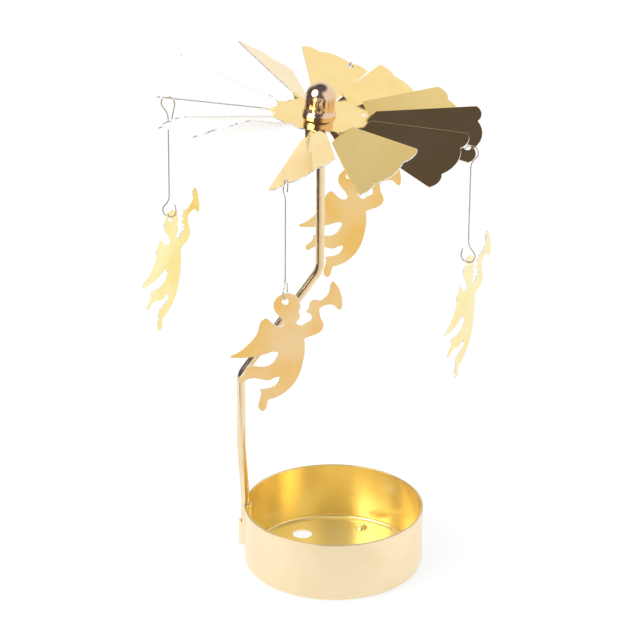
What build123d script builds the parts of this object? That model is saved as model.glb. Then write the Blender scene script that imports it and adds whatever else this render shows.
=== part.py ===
from build123d import *
import math
import os

# Angel chime carousel: a sheet pan for a tealight, a bent rod stem socketed in the pan's wall,
# and a pinwheel on the stem's needle that carries four flat figures on wire hangers.
# Millimetres, +Z up, origin at the centre of the pan's underside. Angles are in degrees.

# Candle pan, drawn from sheet
pan_diameter = 42.0
pan_height = 14.6
pan_sheet = 0.5
pan_corner_radius = 1.4
pan_rim_radius = 0.15

# Vents and raised pips in the pan's floor, each set spread evenly on a circle
vent_count = 3
vent_diameter = 4.8
vent_circle_diameter = 27.6
vent_start_angle = 122.4
pip_count = 3
pip_diameter = 3.0
pip_height = 0.95
pip_circle_diameter = 33.0
pip_start_angle = 65.5

# Stem socket: two straps lanced out of the wall, the upper one inwards and the lower one outwards
upper_strap_height = 4.4
lower_strap_height = 5.9
strap_flare_radius = 0.6
socket_clearance = 0.05

# Stem, a round rod with two bends, a slight outward set of its leg and a needle point
stem_diameter = 2.0
stem_reach = 17.0
leg_set = 0.9
leg_set_foot_height = 16.1
leg_set_top_height = 29.6
lower_bend_height = 47.8
upper_bend_height = 74.1
bend_radius = 5.0
stem_end_chamfer = 0.2
needle_length = 7.0
needle_tip_diameter = 0.3
needle_clearance = 0.05

# Bearing cap with a flared skirt, riveted through the pinwheel's hub, its conical seat on the needle
seat_height = 117.3
cap_diameter = 6.7
cap_height = 7.6
cap_skirt_height = 1.6
cap_flange_diameter = 7.6
cap_flange_thickness = 0.5
cap_bore_diameter = 4.0
cap_seat_angle = 90.0
cap_crown = 1.4
cap_shank_diameter = 5.0
cap_shank_clearance = 0.05
cap_lip_diameter = 6.2
cap_lip_thickness = 0.4

# Pinwheel, one stamped sheet that leans a little on the needle; every third blade carries a hanger
rotor_back_lean_angle = 2.0
rotor_right_lean_angle = 4.4
rotor_turn_angle = -5.8
hub_diameter = 19.6
blade_sheet = 0.25
blade_spread_angle = 26.8
blade_corner_reach = 35.2
blade_corner_fillet = 0.5
neck_width = 4.0
neck_length = 2.0
shoulder_length = 0.6
large_scallop_rise = 1.2
small_scallop_rise = 0.9
small_scallop_spread_angle = 7.0
hang_hole_diameter = 1.6
hang_strip = 0.65

# Each blade is bent by hand: its pitch, its droop and its turn about the hub, counter-clockwise
# from the right-hand blade
blade_pitch_angles = (29.0, 22.0, 24.0, 15.5, 30.0, 38.0, 22.5, 31.8, 30.3, 34.0, 34.0, 32.0)
blade_droop_angles = (0.5, 6.5, 6.0, -2.0, -2.5, -2.5, 1.5, -0.8, -12.9, 1.0, -1.0, 1.0)
blade_turn_angles = (-0.5, 3.0, 0.5, 0.0, -2.5, 0.5, -1.0, -2.4, -2.8, 0.0, 1.0, 1.0)
hanging_names = ("right", "back", "left", "front")

# Wire hangers bent by hand, an open hook at each end; each has its own drop from blade to figure,
# and one has a longer arm on its upper hook
wire_diameter = 0.3
loop_inner_diameter = 2.9
loop_turn_angle = -10.0
neck_bend_radius = 3.5
hook_lean_angle = 12.0
hook_arm_length = 1.3
long_upper_arms = {"left": 3.4}
hook_inset = 0.2
hanger_drops = {"right": 26.3, "back": 26.2, "left": 27.5, "front": 25.9}
hook_clearance = 0.06

# How each figure faces, along the turn or against it, and its twist on the loop
figure_side = {"right": 1, "back": -1, "left": -1, "front": 1}
figure_twist_angles = {"right": -20.5, "back": 4.5, "left": -23.5, "front": 9.5}

# Flat figures; outline points are grid steps across and up, trumpet to the right
figure_sheet = 0.3
figure_hole_diameter = 1.5
figure_grid = 1.0
figure_hole = (0.2, 0.0)
head_diameter = 5.8
head_centre = (0.6, -0.95)
forehead_across = 3.1
nape_angle = 230.0
face = [(3.35, -0.6), (3.45, -1.55), (3.15, -2.25), (3.3, -3.05)]
chin = (2.95, -4.3)
throat = [(2.65, -4.95)]
neck_front = (3.65, -5.7)
upper_arm_top = [(4.55, -5.05)]
elbow_inside = (5.75, -4.45)
forearm_inside = [(5.95, -3.75), (5.75, -3.1)]
hand_heel = (5.1, -2.7)
hand = [(4.75, -2.25), (5.1, -1.8), (5.4, -1.2), (5.4, -0.5), (5.85, 0.15), (6.65, 0.3)]
trumpet_mouthpiece = (7.55, 0.1)
trumpet_top = [(8.7, 0.9), (9.6, 2.05), (9.85, 3.35)]
bell_top = (10.0, 4.2)
bell = [(10.35, 4.5), (11.2, 3.8), (12.15, 1.75), (12.5, -0.3), (12.35, -1.65)]
bell_foot = (12.05, -2.1)
trumpet_foot = [(11.4, -1.75), (10.75, -1.05), (9.35, -0.85), (8.25, -1.2)]
wrist = (7.6, -1.7)
arm_foot = [(7.6, -2.75), (8.05, -4.35), (8.5, -5.6), (8.25, -6.6), (7.2, -7.6), (5.65, -8.2)]
armpit = (4.35, -8.85)
belly = [(4.5, -11.3), (4.1, -14.4), (2.4, -19.1), (-0.35, -21.9)]
ankle = (-3.35, -23.15)
lower_sole = [(-3.6, -23.95), (-3.95, -25.3), (-4.55, -25.85), (-5.15, -25.6), (-5.25, -23.2)]
lower_heel = (-5.25, -20.7)
lower_leg_top = [(-4.15, -20.55), (-2.4, -20.0), (-1.3, -19.0)]
leg_fork = (-0.95, -17.8)
upper_leg_foot = [(-1.6, -17.75), (-2.95, -18.4), (-5.75, -18.05)]
upper_ankle = (-7.85, -18.2)
upper_sole = [(-8.9, -18.85), (-9.5, -19.05), (-9.9, -18.5), (-8.85, -17.0)]
upper_heel = (-8.15, -15.25)
upper_leg_top = [(-5.9, -15.15), (-4.0, -15.2), (-2.7, -14.5)]
wing_fork = (-1.2, -12.0)
wing_foot = [(-2.2, -11.7), (-3.4, -12.05), (-5.85, -12.75), (-8.8, -13.1)]
wing_tip_foot = (-11.3, -13.0)
wing_tip = [(-11.6, -12.75)]
wing_tip_top = (-11.4, -12.45)
wing_edge = [(-9.9, -11.75), (-7.5, -9.65), (-5.65, -6.9), (-5.05, -4.75), (-4.05, -3.9)]
wing_dip = [(-3.05, -4.55), (-1.95, -5.6), (-0.85, -5.9)]
neck_back = (0.0, -5.25)
nape_hollow = [(-0.3, -4.55)]

# Sizes worked out from the ones above
pan_radius = pan_diameter / 2
wall_radius = pan_radius - pan_sheet / 2
stem_radius = stem_diameter / 2
socket_foot = pan_height - upper_strap_height - lower_strap_height
strap_seam = pan_height - upper_strap_height
strap_bore_radius = stem_radius + socket_clearance
strap_outer_radius = strap_bore_radius + pan_sheet
strap_half_width = strap_outer_radius + 2 * strap_flare_radius
stem_leg_x = -wall_radius
rotor_x = stem_leg_x + stem_reach
cap_radius = cap_diameter / 2
cap_bore_radius = cap_bore_diameter / 2
hub_hole_radius = cap_shank_diameter / 2 + cap_shank_clearance
seat_slope = math.tan(math.radians(cap_seat_angle / 2))
needle_tip_radius = needle_tip_diameter / 2
needle_tip = seat_height - needle_tip_radius / seat_slope - needle_clearance
wire_radius = wire_diameter / 2
loop_inner_radius = loop_inner_diameter / 2
loop_radius = loop_inner_radius + wire_radius
blade_count = len(blade_pitch_angles)
hanging_step = blade_count // len(hanging_names)


def polar(radius, angle):
    """Point at a radius and an angle in degrees."""
    return (radius * math.cos(math.radians(angle)), radius * math.sin(math.radians(angle)))


# Floor pip: a pressed-up cap of even thickness, as the metal to add and the hollow to cut
pip_radius = pip_diameter / 2
pip_sphere = (pip_radius**2 + pip_height**2) / (2 * pip_height)
pip_centre = pan_sheet + pip_height - pip_sphere
pip_hollow_sphere = pip_sphere - pan_sheet
pip_hollow_radius = math.sqrt(pip_hollow_sphere**2 - pip_centre**2)


def spherical_cap(sphere_radius, centre, foot_radius, foot):
    """Solid cap of a sphere around the Z axis, standing on a flat foot down to the table."""
    top = (0, centre + sphere_radius)
    half_angle = math.degrees(math.asin(foot_radius / sphere_radius)) / 2
    along, across = polar(sphere_radius, half_angle)
    with BuildPart() as cap_solid:
        with BuildSketch(Plane.XZ):
            with BuildLine():
                ThreePointArc(top, (across, centre + along), (foot_radius, foot))
                if foot > 0:
                    Line((foot_radius, foot), (foot_radius, 0))
                Polyline((foot_radius, 0), (0, 0), top)
            make_face()
        revolve(axis=Axis.Z)
    return cap_solid.part


pip_metal = spherical_cap(pip_sphere, pip_centre, pip_radius, pan_sheet)
pip_hollow = spherical_cap(pip_hollow_sphere, pip_centre, pip_hollow_radius, 0)


def wall_strap(foot, height, outwards):
    """One lanced strap of the stem socket: wall metal bulged round the stem to one side."""
    side = -1 if outwards else 1
    bulge_wall_radius = pan_radius if outwards else pan_radius - pan_sheet
    axis_point = Vector(stem_leg_x, 0, foot)

    def corner_error(corner):
        from_stem = (corner.center() - axis_point).length - strap_outer_radius
        from_axis = math.hypot(corner.X, corner.Y) - bulge_wall_radius
        return abs(from_stem) + abs(from_axis)

    with BuildPart() as strap:
        with BuildSketch(Plane.XY.offset(foot)) as outline:
            Circle(pan_radius)
            Circle(pan_radius - pan_sheet, mode=Mode.SUBTRACT)
            with Locations((stem_leg_x, 0)):
                Rectangle(4 * strap_half_width, 2 * strap_half_width, mode=Mode.INTERSECT)
            with BuildSketch(Plane.XY.offset(foot), mode=Mode.PRIVATE) as bulge:
                with Locations((stem_leg_x, 0)):
                    Circle(strap_outer_radius)
                with Locations((stem_leg_x + side * strap_outer_radius, 0)):
                    Rectangle(2 * strap_outer_radius, 2 * strap_outer_radius, mode=Mode.INTERSECT)
            add(bulge.sketch)
            with Locations((stem_leg_x, 0)):
                Circle(strap_bore_radius, mode=Mode.SUBTRACT)
            flare_corners = outline.vertices().sort_by(corner_error)[:2]
            fillet(flare_corners, radius=strap_flare_radius)
        extrude(amount=height)
    return strap.part


upper_strap = wall_strap(strap_seam, upper_strap_height, outwards=False)
lower_strap = wall_strap(socket_foot, lower_strap_height, outwards=True)

# Candle pan: drawn cup with vents, pips and the stem socket
with BuildPart() as candle_pan:
    with BuildSketch(Plane.XZ) as cup_profile:
        with BuildLine():
            Polyline(
                (0, 0),
                (pan_radius, 0),
                (pan_radius, pan_height),
                (pan_radius - pan_sheet, pan_height),
                (pan_radius - pan_sheet, pan_sheet),
                (0, pan_sheet),
                close=True,
            )
        make_face()
        outer_corner = cup_profile.vertices().sort_by_distance((pan_radius, 0, 0))[0]
        fillet(outer_corner, radius=pan_corner_radius)
        inner_corner = cup_profile.vertices().sort_by_distance((pan_radius - pan_sheet, 0, pan_sheet))[0]
        fillet(inner_corner, radius=pan_corner_radius - pan_sheet)
    revolve(axis=Axis.Z)
    with BuildSketch():
        with PolarLocations(vent_circle_diameter / 2, vent_count, start_angle=vent_start_angle):
            Circle(vent_diameter / 2)
    extrude(amount=pan_sheet, mode=Mode.SUBTRACT)
    with PolarLocations(pip_circle_diameter / 2, pip_count, start_angle=pip_start_angle):
        add(pip_metal)
        add(pip_hollow, mode=Mode.SUBTRACT)
    with BuildSketch(Plane.XY.offset(socket_foot)):
        with Locations((stem_leg_x, 0)):
            Circle(strap_bore_radius)
    extrude(amount=pan_height - socket_foot, mode=Mode.SUBTRACT)
    add(upper_strap)
    add(lower_strap)
    fillet(candle_pan.edges().group_by(Axis.Z)[-1], radius=pan_rim_radius)

# Stem: rod swept along its bends, with a chamfered foot and a needle point
needle_foot = needle_tip - needle_length
with BuildPart() as stem:
    with BuildLine() as stem_path:
        FilletPolyline(
            (stem_leg_x, 0, socket_foot),
            (stem_leg_x, 0, leg_set_foot_height),
            (stem_leg_x - leg_set, 0, leg_set_top_height),
            (stem_leg_x - leg_set, 0, lower_bend_height),
            (rotor_x, 0, upper_bend_height),
            (rotor_x, 0, needle_foot),
            radius=bend_radius,
        )
    with BuildSketch(Plane(origin=(stem_leg_x, 0, socket_foot))):
        Circle(stem_radius)
    sweep(path=stem_path.line)
    chamfer(stem.edges().group_by(Axis.Z)[0], length=stem_end_chamfer)
    with Locations((rotor_x, 0, needle_foot)):
        Cone(stem_radius, needle_tip_radius, needle_length, align=(Align.CENTER, Align.CENTER, Align.MIN))

# The rotor's own frame has its origin at the tip of the conical seat and leans on the needle there
rotor_location = Location((rotor_x, 0, seat_height), (rotor_back_lean_angle, rotor_right_lean_angle, 0))
hub_top = cap_crown - cap_height
hub_foot = hub_top - blade_sheet
hub_middle = hub_top - blade_sheet / 2

# Bearing cap: domed cup with a conical seat, its shank rolled out under the hub
with BuildPart() as cap_turning:
    with BuildSketch(Plane.XZ):
        with BuildLine():
            dome_foot = cap_crown - cap_radius
            seat_foot = -cap_bore_radius / seat_slope
            shoulder_along, shoulder_across = polar(cap_radius, 45)
            skirt_foot = hub_top + cap_flange_thickness
            skirt_top = skirt_foot + cap_skirt_height
            skirt_flare = cap_flange_diameter / 2 - cap_radius
            skirt_arc_radius = (skirt_flare**2 + cap_skirt_height**2) / (2 * skirt_flare)
            skirt_half_angle = math.degrees(math.asin(cap_skirt_height / skirt_arc_radius)) / 2
            skirt_along, skirt_across = polar(skirt_arc_radius, skirt_half_angle)
            ThreePointArc(
                (0, cap_crown),
                (shoulder_across, dome_foot + shoulder_along),
                (cap_radius, dome_foot),
            )
            Line((cap_radius, dome_foot), (cap_radius, skirt_top))
            ThreePointArc(
                (cap_radius, skirt_top),
                (cap_radius + skirt_arc_radius - skirt_along, skirt_top - skirt_across),
                (cap_flange_diameter / 2, skirt_foot),
            )
            Polyline(
                (cap_flange_diameter / 2, skirt_foot),
                (cap_flange_diameter / 2, hub_top),
                (cap_shank_diameter / 2, hub_top),
                (cap_shank_diameter / 2, hub_foot),
                (cap_lip_diameter / 2, hub_foot),
                (cap_lip_diameter / 2, hub_foot - cap_lip_thickness),
                (cap_bore_radius, hub_foot - cap_lip_thickness),
                (cap_bore_radius, seat_foot),
                (0, 0),
                (0, cap_crown),
            )
        make_face()
    revolve(axis=Axis.Z)

with BuildPart() as bearing_cap:
    with Locations(rotor_location):
        add(cap_turning.part)

# Blade outline in its own flat sheet, out along X from the rotor's axis
blade_half_angle = blade_spread_angle / 2
notch_angle = blade_half_angle - small_scallop_spread_angle
small_scallop_angle = (blade_half_angle + notch_angle) / 2
neck_start = hub_diameter / 2
neck_middle = neck_start + neck_length / 2
neck_end = neck_start + neck_length
shoulder_x = neck_end + shoulder_length
shoulder_y = shoulder_x * math.tan(math.radians(blade_half_angle))
large_scallop_reach = blade_corner_reach + large_scallop_rise
small_scallop_reach = blade_corner_reach + small_scallop_rise
high_corner = polar(blade_corner_reach, blade_half_angle)
high_notch = polar(blade_corner_reach, notch_angle)
low_notch = polar(blade_corner_reach, -notch_angle)
low_corner = polar(blade_corner_reach, -blade_half_angle)
hang_hole_x = low_notch[0] - hang_strip - hang_hole_diameter / 2
strip_x = low_notch[0] - hang_strip / 2


def bent_plane(index):
    """Sheet plane of a blade at azimuth 0, pitched about its length and drooped at its neck."""
    droop = Location((neck_middle, 0, 0), (0, blade_droop_angles[index], 0))
    pitch = Location((-neck_middle, 0, 0), (blade_pitch_angles[index], 0, 0))
    return Plane(droop * pitch)


def bent_blade(index):
    """One blade at azimuth 0: tab on the hub, twisted neck and flat scalloped plate."""
    sheet_plane = bent_plane(index)
    neck_end_point = sheet_plane.from_local_coords((neck_end, 0, 0))
    with BuildPart() as blade:
        with BuildSketch(Plane.YZ.offset(neck_start - neck_width / 2)):
            Rectangle(neck_width, blade_sheet)
        extrude(amount=neck_width / 2)
        with BuildSketch(Plane.YZ.offset(neck_start)):
            Rectangle(neck_width, blade_sheet)
        with BuildSketch(Plane(neck_end_point, x_dir=sheet_plane.y_dir, z_dir=sheet_plane.x_dir)):
            Rectangle(neck_width, blade_sheet)
        loft()
        with BuildSketch(sheet_plane) as plate:
            with BuildLine():
                Polyline((neck_end, neck_width / 2), (shoulder_x, shoulder_y), high_corner)
                ThreePointArc(high_corner, polar(small_scallop_reach, small_scallop_angle), high_notch)
                ThreePointArc(high_notch, (large_scallop_reach, 0), low_notch)
                ThreePointArc(low_notch, polar(small_scallop_reach, -small_scallop_angle), low_corner)
                Polyline(low_corner, (shoulder_x, -shoulder_y), (neck_end, -neck_width / 2))
                Line((neck_end, -neck_width / 2), (neck_end, neck_width / 2))
            make_face()
            for corner in (high_corner, low_corner):
                corner_point = sheet_plane.from_local_coords(corner)
                fillet(plate.vertices().sort_by_distance(corner_point)[0], radius=blade_corner_fillet)
        extrude(amount=blade_sheet / 2, both=True)
    return blade.part


def blade_azimuth(index):
    """Azimuth of a blade, counted counter-clockwise from the right."""
    return rotor_turn_angle + 360 / blade_count * index + blade_turn_angles[index]


def blade_location(index):
    """Place of a blade in the rotor's frame."""
    return Location((0, 0, hub_middle), (0, 0, blade_azimuth(index)))


def blade_sheet_plane(index):
    """Sheet plane of a blade in the rotor's frame."""
    return Plane(blade_location(index) * bent_plane(index).location)


# Pinwheel in the rotor's frame: hub disc with all blades, the rivet hole and the hanging holes
with BuildPart() as pinwheel:
    with BuildSketch(Plane.XY.offset(hub_foot)):
        Circle(hub_diameter / 2)
    extrude(amount=blade_sheet)
    for index in range(blade_count):
        with Locations(blade_location(index)):
            add(bent_blade(index))
    with BuildSketch(Plane.XY.offset(hub_foot)):
        Circle(hub_hole_radius)
    extrude(amount=blade_sheet, mode=Mode.SUBTRACT)
    for index in range(0, blade_count, hanging_step):
        with BuildSketch(blade_sheet_plane(index)):
            with Locations((hang_hole_x, low_notch[1])):
                Circle(hang_hole_diameter / 2)
        extrude(amount=blade_sheet, both=True, mode=Mode.SUBTRACT)

with BuildPart() as propeller:
    with Locations(rotor_location):
        add(pinwheel.part)

# Flat figure in its own plane, hole at the origin, before it is turned to hang straight
head_radius = head_diameter / 2
head_x = figure_grid * head_centre[0]
head_y = figure_grid * head_centre[1]
hole_x = figure_grid * figure_hole[0]
hole_y = figure_grid * figure_hole[1]
forehead_x = figure_grid * forehead_across
forehead_y = head_y + math.sqrt(head_radius**2 - (forehead_x - head_x) ** 2)
nape_x, nape_y = polar(head_radius, nape_angle)
forehead = (forehead_x / figure_grid, forehead_y / figure_grid)
crown = (head_x / figure_grid, (head_y + head_radius) / figure_grid)
nape = ((head_x + nape_x) / figure_grid, (head_y + nape_y) / figure_grid)
figure_stretches = [
    [forehead, *face, chin],
    [chin, *throat, neck_front],
    [neck_front, *upper_arm_top, elbow_inside],
    [elbow_inside, *forearm_inside, hand_heel],
    [hand_heel, *hand, trumpet_mouthpiece],
    [trumpet_mouthpiece, *trumpet_top, bell_top],
    [bell_top, *bell, bell_foot],
    [bell_foot, *trumpet_foot, wrist],
    [wrist, *arm_foot, armpit],
    [armpit, *belly, ankle],
    [ankle, *lower_sole, lower_heel],
    [lower_heel, *lower_leg_top, leg_fork],
    [leg_fork, *upper_leg_foot, upper_ankle],
    [upper_ankle, *upper_sole, upper_heel],
    [upper_heel, *upper_leg_top, wing_fork],
    [wing_fork, *wing_foot, wing_tip_foot],
    [wing_tip_foot, *wing_tip, wing_tip_top],
    [wing_tip_top, *wing_edge, *wing_dip, neck_back],
    [neck_back, *nape_hollow, nape],
]


def on_grid(point):
    """Outline point in millimetres from the hanging hole."""
    return (figure_grid * point[0] - hole_x, figure_grid * point[1] - hole_y)


with BuildSketch() as figure_outline:
    with BuildLine():
        ThreePointArc(on_grid(nape), on_grid(crown), on_grid(forehead))
        for stretch in figure_stretches:
            Spline(*[on_grid(point) for point in stretch])
    make_face()
    Circle(figure_hole_diameter / 2, mode=Mode.SUBTRACT)

# A free figure hangs with its centre of area under its hole
area_centre = figure_outline.face().center(CenterOf.MASS)
figure_lean = -math.degrees(math.atan2(area_centre.X, -area_centre.Y))
hung_head = Vector(head_x - hole_x, head_y - hole_y).rotate(Axis.Z, figure_lean)
head_top = hung_head.Y + math.sqrt(head_radius**2 - hung_head.X**2)
figure_strip = head_top - figure_hole_diameter / 2
figure_strip_middle = (head_top + figure_hole_diameter / 2) / 2
with BuildPart() as figure:
    with BuildSketch(Plane.XZ):
        add(figure_outline.sketch, rotation=figure_lean)
    extrude(amount=figure_sheet / 2, both=True)

# Hanger path in its loop plane, outwards and up from the place where it bears on the blade
steepest_blade = max(blade_pitch_angles[::hanging_step])
blade_strip_height = blade_sheet / math.cos(math.radians(steepest_blade))
blade_strip_width = hang_strip / math.cos(math.radians(loop_turn_angle))
blade_strip_reach = math.hypot(blade_strip_width, blade_strip_height) / 2
widest_twist = max(abs(twist - loop_turn_angle) for twist in figure_twist_angles.values())
figure_strip_width = figure_sheet / math.cos(math.radians(widest_twist))
figure_strip_reach = math.hypot(figure_strip, figure_strip_width) / 2
upper_loop_room = loop_inner_radius - blade_strip_reach - hook_clearance
upper_loop_y = -math.sqrt(upper_loop_room**2 - hook_inset**2)
lower_loop_offset = loop_inner_radius - figure_strip_reach - hook_clearance
neck_rise = math.sqrt((neck_bend_radius + loop_radius) ** 2 - neck_bend_radius**2)
neck_angle = math.degrees(math.atan2(neck_rise, neck_bend_radius))
loop_sweep_angle = 180 + neck_angle + hook_lean_angle


def hanging_blade(name):
    """Index of the blade that carries a hanger."""
    return hanging_names.index(name) * hanging_step


def outwards(name):
    """Level direction in which a hanger's hooks are bent, away from the rotor's axis."""
    return Vector(*polar(1, blade_azimuth(hanging_blade(name)) + loop_turn_angle))


def hanging_point(name):
    """Where a hanger bears, just inside the strip between its blade's hanging hole and notch."""
    strip = blade_sheet_plane(hanging_blade(name)).from_local_coords((strip_x, low_notch[1], 0))
    return (rotor_location * Location(strip)).position - outwards(name) * hook_inset


def hanger_wire(name):
    """Wire hanger with its upper hook through the blade and its lower hook through the figure."""
    loop_normal = outwards(name).cross(Vector(0, 0, 1))
    loop_plane = Plane(origin=hanging_point(name), x_dir=outwards(name), z_dir=loop_normal)
    lower_loop_y = lower_loop_offset - hanger_drops[name]
    upper_neck = (neck_bend_radius, upper_loop_y - neck_rise)
    lower_neck = (neck_bend_radius, lower_loop_y + neck_rise)
    end_x, end_y = polar(loop_radius, 180 + hook_lean_angle)
    upper_arm_length = long_upper_arms.get(name, hook_arm_length)
    upper_arm_y, upper_arm_x = polar(upper_arm_length, hook_lean_angle)
    arm_y, arm_x = polar(hook_arm_length, hook_lean_angle)
    with BuildPart() as hanger:
        with BuildLine(loop_plane) as path:
            Line((end_x + upper_arm_x, upper_loop_y + end_y - upper_arm_y), (end_x, upper_loop_y + end_y))
            CenterArc((0, upper_loop_y), loop_radius, -neck_angle, loop_sweep_angle)
            CenterArc(upper_neck, neck_bend_radius, 180 - neck_angle, neck_angle)
            Line((0, upper_neck[1]), (0, lower_neck[1]))
            CenterArc(lower_neck, neck_bend_radius, 180, neck_angle)
            CenterArc((0, lower_loop_y), loop_radius, neck_angle, -loop_sweep_angle)
            Line((end_x, lower_loop_y - end_y), (end_x + arm_x, lower_loop_y - end_y + arm_y))
        wire_path = path.wire()
        with BuildSketch(Plane(origin=wire_path @ 0, z_dir=wire_path % 0)):
            Circle(wire_radius)
        sweep(path=wire_path)
    return hanger


def hung_figure(name):
    """Figure on its hanger's lower loop, facing its own way."""
    facing = blade_azimuth(hanging_blade(name)) + 90 * figure_side[name] + figure_twist_angles[name]
    hole = hanging_point(name) - Vector(0, 0, hanger_drops[name] + figure_strip_middle)
    with BuildPart() as angel:
        with Locations(Location(hole, (0, 0, facing))):
            add(figure.part)
    return angel


os.makedirs("parts", exist_ok=True)

candle_pan.part.label = "candle_pan"
export_step(candle_pan.part, "parts/candle_pan.step")

stem.part.label = "stem"
export_step(stem.part, "parts/stem.step")

bearing_cap.part.label = "bearing_cap"
export_step(bearing_cap.part, "parts/bearing_cap.step")

propeller.part.label = "propeller"
export_step(propeller.part, "parts/propeller.step")

for name in hanging_names:
    hanger = hanger_wire(name)
    hanger.part.label = "hanger_" + name
    export_step(hanger.part, "parts/hanger_" + name + ".step")
    angel = hung_figure(name)
    angel.part.label = "angel_" + name
    export_step(angel.part, "parts/angel_" + name + ".step")
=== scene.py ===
import math

import bpy
from mathutils import Matrix, Vector


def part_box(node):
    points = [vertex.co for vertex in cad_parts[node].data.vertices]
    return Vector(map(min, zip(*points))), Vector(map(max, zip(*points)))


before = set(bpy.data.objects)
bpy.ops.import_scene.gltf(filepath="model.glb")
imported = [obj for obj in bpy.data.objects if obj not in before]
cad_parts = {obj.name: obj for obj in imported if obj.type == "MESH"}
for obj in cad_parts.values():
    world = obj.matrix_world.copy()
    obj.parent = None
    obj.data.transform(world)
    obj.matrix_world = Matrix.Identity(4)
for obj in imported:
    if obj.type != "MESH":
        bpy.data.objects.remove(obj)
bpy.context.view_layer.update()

MM = 0.001
UP = (0, 0, 1)
WHITE = (1.0, 1.0, 1.0)


# Node helpers: a value is a plain number, vector or colour, or a (node, output) pair


def new_tree(owner):
    """Empty node tree of a material or a world."""
    owner.use_nodes = True
    tree = owner.node_tree
    tree.nodes.clear()
    return tree


def feed(tree, value, socket):
    """Links a (node, output) pair to an input socket, or sets the socket to a plain value."""
    if isinstance(value, tuple) and isinstance(value[0], bpy.types.Node):
        source, output = value
        tree.links.new(source.outputs[output], socket)
    elif socket.type == "RGBA":
        socket.default_value = (*value, 1)
    else:
        socket.default_value = value


def node(tree, kind, **settings):
    """Adds a node; settings are attributes, or input sockets where the name starts with a capital."""
    made = tree.nodes.new(kind)
    for key, value in settings.items():
        if key[0].isupper():
            feed(tree, value, made.inputs[key.replace("_", " ")])
        else:
            setattr(made, key, value)
    return made


def maths(tree, operation, *values):
    """Result of a calculation with numbers."""
    made = node(tree, "ShaderNodeMath", operation=operation)
    for socket, value in zip(made.inputs, values):
        feed(tree, value, socket)
    return made, "Value"


def vector_maths(tree, operation, output, *values):
    """Result of a calculation with vectors; output names the result."""
    made = node(tree, "ShaderNodeVectorMath", operation=operation)
    for socket, value in zip(made.inputs, values):
        feed(tree, value, socket)
    return made, output


def mixed(tree, kind, share, low, high):
    """Number or colour between two, by a share; kind is FLOAT or RGBA."""
    made = node(tree, "ShaderNodeMix", data_type=kind)
    sockets = [socket for socket in made.inputs if socket.enabled]
    for socket, value in zip(sockets, (share, low, high)):
        feed(tree, value, socket)
    results = [number for number, socket in enumerate(made.outputs) if socket.enabled]
    return made, results[0]


def blended(tree, share, low, high):
    """Shader between two, by a share."""
    made = node(tree, "ShaderNodeMixShader")
    for socket, value in zip(made.inputs, (share, low, high)):
        feed(tree, value, socket)
    return made, "Shader"


def smooth_step(tree, value, low, high, to_low=0.0, to_high=1.0):
    """Smooth rise from one number to another while a value goes from low to high."""
    made = node(
        tree, "ShaderNodeMapRange", interpolation_type="SMOOTHSTEP",
        Value=value, From_Min=low, From_Max=high, To_Min=to_low, To_Max=to_high,
    )
    return made, "Result"


def ramp(tree, share, stops):
    """Colour of a ramp with a (position, colour) stop at each end."""
    made = node(tree, "ShaderNodeValToRGB", Fac=share)
    for element, (position, colour) in zip(made.color_ramp.elements, stops):
        element.position = position
        element.color = (*colour, 1)
    return made, "Color"


def noise(tree, place, scale, detail, stretch=None):
    """Noise in the object's own coordinates, stretched along an axis where a stretch is given."""
    spot = (place, "Object")
    if stretch:
        spot = (node(tree, "ShaderNodeMapping", Vector=spot, Scale=stretch), "Vector")
    return node(tree, "ShaderNodeTexNoise", Vector=spot, Scale=scale, Detail=detail), "Fac"


# Gold finishes

CLOUD_DETAIL = 3.0
SMEAR_FINENESS, SMEAR_DETAIL = 4, 5.0
WAVE_FINENESS, WAVE_DETAIL = 0.8, 1.0
GRAIN_DETAIL = 4.0
TONE_STOPS = (0.4, 0.6)
POLISH_STOPS = (0.35, 0.75)
LACQUER_ROUGHNESS = 0.12

# Pale bare metal of the sheets' cut edges, and a painted glare on the pinwheel's back: the same near-white,
# mostly matt
BARE_EDGE_AND_GLARE_WHITE = (0.985, 0.98, 0.99)
BARE_ROUGHNESS = 0.4
GLARE_BACK_METAL = 0.15
FACE_LIMIT = 0.7
EDGE_RADIUS = 0.12 * MM
EDGE_SAMPLES = 6

# The pan's sheet and the cut edge of its rim
PAN_SHEET = 0.5 * MM
RIM_FADE = 0.15 * MM
CUT_EDGE = (0.64, 0.48, 0.24)


def sheet_faces(tree, place, normal, both_sides):
    """Shares of a sheet's plated face, or both faces, and of its back, which gets a painted glare; its cut
    edges have neither.
    """
    facing = vector_maths(tree, "DOT_PRODUCT", "Value", (place, "Normal"), normal)
    if both_sides:
        facing = maths(tree, "ABSOLUTE", facing)
    return maths(tree, "GREATER_THAN", facing, FACE_LIMIT), maths(tree, "LESS_THAN", facing, -FACE_LIMIT)


def cup_zones(tree, place, radius, floor, rim):
    """Shares of the inside and of the top edge of an upright cup around the Z axis."""
    level = vector_maths(tree, "MULTIPLY", "Vector", (place, "Object"), (1, 1, 0))
    reach = vector_maths(tree, "LENGTH", "Value", level)
    height = (node(tree, "ShaderNodeSeparateXYZ", Vector=(place, "Object")), "Z")
    within = maths(tree, "LESS_THAN", reach, radius)
    above = maths(tree, "GREATER_THAN", height, floor)
    return maths(tree, "MULTIPLY", within, above), smooth_step(tree, height, rim - RIM_FADE, rim)


def bump(tree, height, distance, **settings):
    """Normal of a surface with a small relief."""
    made = node(tree, "ShaderNodeBump", Strength=1.0, Height=height, Distance=distance, **settings)
    return made, "Normal"


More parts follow.
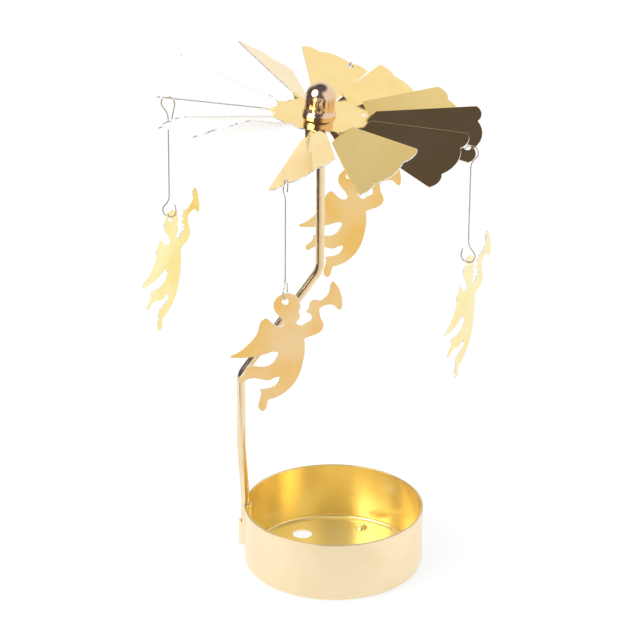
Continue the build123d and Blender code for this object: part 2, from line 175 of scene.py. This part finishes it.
def gold(name, deep, pale, rough, cloud, wave_height, grain, brush=None, sheet=None, hollow=None, coat=0.0):
    """Polished gold: cloudy tone, uneven polish, a slow waviness of the sheet and a fine grain.

    deep and pale are the tones; rough is the range of roughness; cloud is the clouds' scale; grain is
    the grain's scale and height; brush stretches the grain; coat is the weight of a clear lacquer.
    sheet gives a sheet's plated normal, whether both faces are plated, and its edges' share of metal.
    hollow gives a cup's inner radius, floor and rim, its inner roughness and a tone with a painted warm
    glow, and its wall's and floor's share of metal, whose matt part also paints the glow.
    """
    material = bpy.data.materials.new(name)
    tree = new_tree(material)
    place = node(tree, "ShaderNodeTexCoord")
    clouds = noise(tree, place, cloud, CLOUD_DETAIL)
    smears = noise(tree, place, cloud * SMEAR_FINENESS, SMEAR_DETAIL)

    def finish(deep, pale, rough):
        """Cloudy colour and uneven roughness."""
        tone = ramp(tree, clouds, zip(TONE_STOPS, (deep, pale)))
        return tone, smooth_step(tree, smears, *POLISH_STOPS, *rough)

    colour, roughness = finish(deep, pale, rough)
    metal = 1.0
    flow = {}
    if sheet:
        normal, both_sides, edge_metal = sheet
        plated, back = sheet_faces(tree, place, normal, both_sides)
        metal = mixed(tree, "FLOAT", plated, edge_metal, 1.0)
        # Painted glare: the sheet's back is near-white and mostly matt
        metal = mixed(tree, "FLOAT", back, metal, GLARE_BACK_METAL)
        colour = mixed(tree, "RGBA", plated, BARE_EDGE_AND_GLARE_WHITE, colour)
        roughness = mixed(tree, "FLOAT", plated, BARE_ROUGHNESS, roughness)
        rounded = node(tree, "ShaderNodeBevel", samples=EDGE_SAMPLES, Radius=EDGE_RADIUS)
        flow["Normal"] = (rounded, "Normal")
    if hollow:
        size, inner_finish_and_glow, wall_metal, floor_metal = hollow
        inside, edge = cup_zones(tree, place, *size)
        floor, _ = sheet_faces(tree, place, UP, False)
        metal = mixed(tree, "FLOAT", floor, wall_metal, floor_metal)
        metal = mixed(tree, "FLOAT", inside, 1.0, metal)
        # Inside the cup, a deeper yellow tone and a partly matt surface paint an even warm glow
        inner_glow_colour, inner_roughness = finish(*inner_finish_and_glow)
        colour = mixed(tree, "RGBA", inside, colour, inner_glow_colour)
        colour = mixed(tree, "RGBA", edge, colour, CUT_EDGE)
        roughness = mixed(tree, "FLOAT", inside, roughness, inner_roughness)
    waves = noise(tree, place, cloud * WAVE_FINENESS, WAVE_DETAIL)
    dents = bump(tree, waves, wave_height, **flow)
    grain_scale, grain_height = grain
    skin = bump(tree, noise(tree, place, grain_scale, GRAIN_DETAIL, brush), grain_height, Normal=dents)
    shader = node(
        tree, "ShaderNodeBsdfPrincipled", Base_Color=colour, Metallic=metal, Roughness=roughness,
        Coat_Weight=coat, Coat_Roughness=LACQUER_ROUGHNESS, Normal=skin,
    )
    node(tree, "ShaderNodeOutputMaterial", Surface=(shader, "BSDF"))
    return material


def widest_normal(name):
    """Normal of the face with the largest area, which is the flat of a plate."""
    return max(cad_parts[name].data.polygons, key=lambda face: face.area).normal.copy()


pan_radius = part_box("candle_pan")[1][1]
pan_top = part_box("candle_pan")[1][2]
FIGURE_EDGE_METAL = 0.68
PINWHEEL_EDGE_METAL = 1.0

# Deep tone, pale tone and roughness of the pan's inside, and the share of metal on its wall and floor: the
# roughness is a satin finish, while the deeper yellow tone and the matt share, larger on the floor, are a
# painted warm glow
PAN_INSIDE_SATIN_AND_GLOW = ((0.95, 0.74, 0.26), (0.97, 0.78, 0.31), (0.22, 0.26))
PAN_WALL_METAL = 0.80
PAN_FLOOR_METAL = 0.60

# Deep and pale tone of each figure, with painted light: the side figures are painted paler as lit, the
# front and back deeper as shaded
FIGURE_LIT_AND_SHADED_TONES = {
    "front": ((0.93, 0.67, 0.235), (0.945, 0.77, 0.43)),
    "right": ((0.95, 0.80, 0.38), (0.965, 0.86, 0.49)),
    "back": ((0.94, 0.67, 0.21), (0.95, 0.76, 0.36)),
    "left": ((0.95, 0.77, 0.30), (0.975, 0.88, 0.45)),
}

wire_gold = gold(
    "wire_gold", deep=(0.58, 0.52, 0.45), pale=(0.68, 0.61, 0.53), rough=(0.2, 0.32),
    cloud=300, wave_height=2e-6, grain=(6000, 3e-7),
)
finishes = {
    "candle_pan": gold(
        "pan_gold", deep=(0.94, 0.76, 0.48), pale=(0.96, 0.80, 0.53), rough=(0.34, 0.42),
        cloud=120, wave_height=1e-6, grain=(900, 4e-7), brush=(1.0, 1.0, 0.08), coat=0.5,
        hollow=(
            (pan_radius - PAN_SHEET / 2, PAN_SHEET / 2, pan_top),
            PAN_INSIDE_SATIN_AND_GLOW,
            PAN_WALL_METAL,
            PAN_FLOOR_METAL,
        ),
    ),
    "stem": gold(
        "stem_gold", deep=(0.84, 0.68, 0.43), pale=(0.89, 0.74, 0.50), rough=(0.12, 0.22),
        cloud=160, wave_height=4e-6, grain=(3000, 4e-7), brush=(1.0, 1.0, 0.1),
    ),
    "propeller": gold(
        "pinwheel_gold", deep=(0.95, 0.69, 0.25), pale=(0.97, 0.735, 0.29), rough=(0.04, 0.09),
        cloud=90, wave_height=5e-6, grain=(5000, 1e-7), sheet=(UP, False, PINWHEEL_EDGE_METAL),
    ),
    "bearing_cap": gold(
        "cap_gold", deep=(0.80, 0.56, 0.38), pale=(0.84, 0.61, 0.43), rough=(0.14, 0.22),
        cloud=200, wave_height=2e-6, grain=(5000, 1e-7),
    ),
}
for hung, (deep, pale) in FIGURE_LIT_AND_SHADED_TONES.items():
    figure = "angel_" + hung
    finishes["hanger_" + hung] = wire_gold
    # Each figure gets its own copy of one gold, painted paler or deeper by how it catches the light
    finishes[figure] = gold(
        figure + "_gold", deep=deep, pale=pale, rough=(0.12, 0.24), cloud=90, wave_height=8e-6,
        grain=(5000, 2e-7), sheet=(widest_normal(figure), True, FIGURE_EDGE_METAL),
    )
for name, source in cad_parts.items():
    for slot in source.material_slots:
        slot.material = finishes[name]


# Table: pale paper that glows white to the camera and to reflections, and keeps part of its shadow

TABLE_LEFT, TABLE_RIGHT, TABLE_FRONT, TABLE_BACK = -0.2, 3.0, -0.07, 3.0
FLOOR_DROP = 0.00005
PAPER = (0.92, 0.92, 0.92)
GLOW_SHARE = 0.8

# Painted shade: reflections see the table a little darker in front of the pan
FRONT_SHADE, FRONT_SHADE_REACH, FRONT_SHADE_TONE = (0.008, -0.045, 0), 0.045, 0.8

floor_mesh = bpy.data.meshes.new("floor")
floor_mesh.from_pydata(
    [
        (TABLE_LEFT, TABLE_FRONT, 0),
        (TABLE_RIGHT, TABLE_FRONT, 0),
        (TABLE_RIGHT, TABLE_BACK, 0),
        (TABLE_LEFT, TABLE_BACK, 0),
    ],
    [],
    [(0, 1, 2, 3)],
)
floor = bpy.data.objects.new("floor", floor_mesh)
bpy.context.scene.collection.objects.link(floor)
floor.location.z = -FLOOR_DROP
paper = bpy.data.materials.new("paper_white")
tree = new_tree(paper)
rays = node(tree, "ShaderNodeLightPath")
camera_or_mirror = maths(tree, "MAXIMUM", (rays, "Is Camera Ray"), (rays, "Is Glossy Ray"))
seen = maths(tree, "MAXIMUM", camera_or_mirror, (rays, "Is Transmission Ray"))
spot = (node(tree, "ShaderNodeTexCoord"), "Object")
apart = vector_maths(tree, "DISTANCE", "Value", spot, FRONT_SHADE)
shade = smooth_step(tree, apart, 0.0, FRONT_SHADE_REACH, FRONT_SHADE_TONE, 1.0)
glow_strength = maths(tree, "MAXIMUM", (rays, "Is Camera Ray"), shade)
matt = (node(tree, "ShaderNodeBsdfDiffuse", Color=PAPER), "BSDF")
glow = (node(tree, "ShaderNodeEmission", Color=WHITE, Strength=glow_strength), "Emission")
surface = blended(tree, maths(tree, "MULTIPLY", seen, GLOW_SHARE), matt, glow)
node(tree, "ShaderNodeOutputMaterial", Surface=surface)
floor_mesh.materials.append(paper)


# Surroundings: white to the camera, an even fill for matt surfaces, and a room that the gold mirrors

FILL_STRENGTH = 1.05
ROOM = (0.10, 0.092, 0.135)
TABLE_EDGE = (0.90, 0.78, 0.71)

# Zones of the mirrored room, laid over each other: direction, cosines where one starts and is full, colour
MIRRORED_ZONES = [
    ((0.866, 0.5, 0), -0.42, 0.13, WHITE),
    ((0.14, -0.99, 0), 0.9, 0.97, ROOM),
    (UP, 0.62, 0.88, ROOM),
    ((0, -0.92, -0.39), 0.86, 0.94, TABLE_EDGE),
]


def background(tree, colour, strength=1.0):
    """Even light from the surroundings."""
    return node(tree, "ShaderNodeBackground", Color=colour, Strength=strength), "Background"


world = bpy.data.worlds.new("studio")
bpy.context.scene.world = world
tree = new_tree(world)
gaze = (node(tree, "ShaderNodeTexCoord"), "Generated")
room = ROOM
for direction, start, full, colour in MIRRORED_ZONES:
    towards = vector_maths(tree, "DOT_PRODUCT", "Value", gaze, direction)
    room = mixed(tree, "RGBA", smooth_step(tree, towards, start, full), room, colour)
rays = node(tree, "ShaderNodeLightPath")
around = blended(
    tree, (rays, "Is Glossy Ray"), background(tree, WHITE, FILL_STRENGTH), background(tree, room)
)
shown = blended(tree, (rays, "Is Camera Ray"), around, background(tree, WHITE))
node(tree, "ShaderNodeOutputWorld", Surface=shown)


# One soft lamp from the front left

KEY_DIRECTION = Vector((-0.681, -0.43, 0.591))
KEY_DISTANCE = 0.8
KEY_SIZE = 0.7
KEY_WATTS = 5.0
OBJECT_MIDDLE = Vector((0, 0, 0.07))
lamp = bpy.data.lights.new("key_lamp", "AREA")
lamp.shape = "DISK"
lamp.size = KEY_SIZE
lamp.energy = KEY_WATTS
holder = bpy.data.objects.new("key_lamp", lamp)
bpy.context.scene.collection.objects.link(holder)
holder.location = OBJECT_MIDDLE + KEY_DISTANCE * KEY_DIRECTION
holder.rotation_euler = (OBJECT_MIDDLE - holder.location).to_track_quat("-Z", "Y").to_euler()


# Camera at the photograph's angle

AIM = Vector((-0.0036, 0.0, 0.0616))
ELEVATION = math.radians(23.5)
ROLL = math.radians(0.5)
DISTANCE = 0.65
SENSOR_WIDTH = 36.0
IMAGE_PIXELS = 640
FOCAL_PIXELS = 2848
NEAREST, FARTHEST = 0.01, 20.0
camera = bpy.data.cameras.new("camera")
camera.sensor_width = SENSOR_WIDTH
camera.lens = FOCAL_PIXELS * SENSOR_WIDTH / IMAGE_PIXELS
camera.clip_start = NEAREST
camera.clip_end = FARTHEST
viewer = bpy.data.objects.new("camera", camera)
bpy.context.scene.collection.objects.link(viewer)
viewer.location = AIM + DISTANCE * Vector((0, -math.cos(ELEVATION), math.sin(ELEVATION)))
turn = (AIM - viewer.location).to_track_quat("-Z", "Y").to_matrix() @ Matrix.Rotation(ROLL, 3, "Z")
viewer.rotation_euler = turn.to_euler()
bpy.context.scene.camera = viewer
bpy.context.scene.view_settings.view_transform = "Standard"
